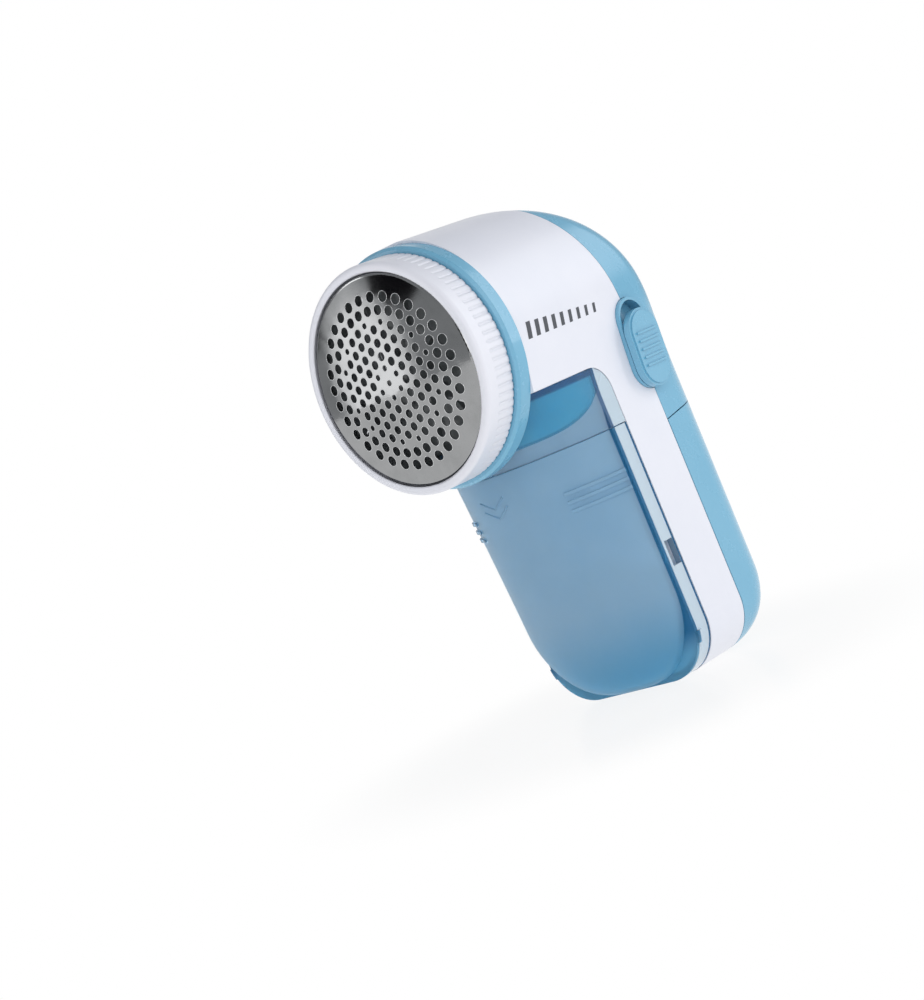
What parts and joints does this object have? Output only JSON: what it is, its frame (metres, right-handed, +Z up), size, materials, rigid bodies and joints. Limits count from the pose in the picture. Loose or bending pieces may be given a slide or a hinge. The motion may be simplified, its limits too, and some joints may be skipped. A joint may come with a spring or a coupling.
{
  "type": "fabric shaver",
  "caption": "Battery fabric shaver with a domed perforated foil head, a translucent lint bin in front of an upright handle, a thumb slide switch and a battery door.",
  "frame": {"origin": "centre of the bounding box at the base, where the handle stands", "axes": "+Z up the handle, -Y the way the cutting head faces, +X the side with the thumb switch"},
  "size_m": [0.0616, 0.0772, 0.1276],
  "materials": {
    "white_plastic": "satin moulded",
    "blue_plastic": "gloss moulded",
    "clear_blue": "translucent, lightly frosted",
    "foil_steel": "polished",
    "blade_steel": "ground",
    "motor_steel": "plated",
    "winding_copper": "enamelled",
    "dark_plastic": "matte",
    "contact_metal": "nickel plated",
    "bush_bronze": "sintered",
    "magnet_ferrite": "sintered",
    "cell_sleeve": "printed sleeve",
    "tray_plastic": "satin"
  },
  "bodies": {
    "casing": {"housing_left": "white_plastic", "housing_right": "white_plastic", "housing_screws": "contact_metal", "spine_cover": "blue_plastic", "collar_ring": "blue_plastic", "cutting_chamber": "dark_plastic", "motor_can": "motor_steel", "motor_magnets": "magnet_ferrite", "motor_end_cap": "dark_plastic", "front_bush": "bush_bronze", "rear_bush": "bush_bronze", "motor_bracket": "tray_plastic", "motor_screws": "contact_metal", "neck_chute": "clear_blue", "bin_catches": "contact_metal", "battery_cell_left": "cell_sleeve", "battery_cell_right": "cell_sleeve", "battery_springs": "contact_metal", "bridge_contact": "contact_metal", "terminal_negative": "contact_metal", "terminal_positive": "contact_metal", "battery_cradle": "tray_plastic", "switch_well": "blue_plastic", "switch_body": "dark_plastic"},
    "rotor": {"drive_shaft": "blade_steel", "armature": "winding_copper", "commutator": "winding_copper", "fan_impeller": "dark_plastic"},
    "cutter": {"cutter_hub": "dark_plastic", "cutter_blade_1": "blade_steel", "cutter_blade_2": "blade_steel", "cutter_blade_3": "blade_steel", "cutter_spring": "contact_metal"},
    "foil": {"foil_guard": "foil_steel"},
    "cap": {"cap_ring": "white_plastic"},
    "bin": {"lint_bin": "clear_blue"},
    "door": {"battery_door": "blue_plastic"},
    "slider": {"switch_slider": "blue_plastic"}
  },
  "joints": [
    {"name": "rotor_spin", "type": "hinge", "parent": "casing", "child": "rotor", "pos_m": [0, -0.026, 0.0965], "axis": [0, 1, 0], "continuous": true},
    {"name": "cutter_float", "type": "slide", "parent": "rotor", "child": "cutter", "axis": [0, 1, 0], "range_m": [0, 0.0005], "stiffness_N_per_m": 300, "springref_m": -0.0015, "deforming": ["cutter_spring"]},
    {"name": "foil_lift", "type": "slide", "parent": "casing", "child": "foil", "axis": [0, -1, 0], "range_m": [0, 0.025]},
    {"name": "cap_turn", "type": "hinge", "parent": "foil", "child": "cap", "pos_m": [0, -0.032, 0.0965], "axis": [0, -1, 0], "range_deg": [0, 90]},
    {"name": "bin_pull", "type": "slide", "parent": "casing", "child": "bin", "axis": [0, -1, 0], "range_m": [0, 0.022]},
    {"name": "door_pull", "type": "slide", "parent": "casing", "child": "door", "axis": [0, 1, 0], "range_m": [0, 0.022]},
    {"name": "switch_slide", "type": "slide", "parent": "casing", "child": "slider", "axis": [0.0696, 0.0049, 0.9976], "range_m": [0, 0.0035]}
  ]
}
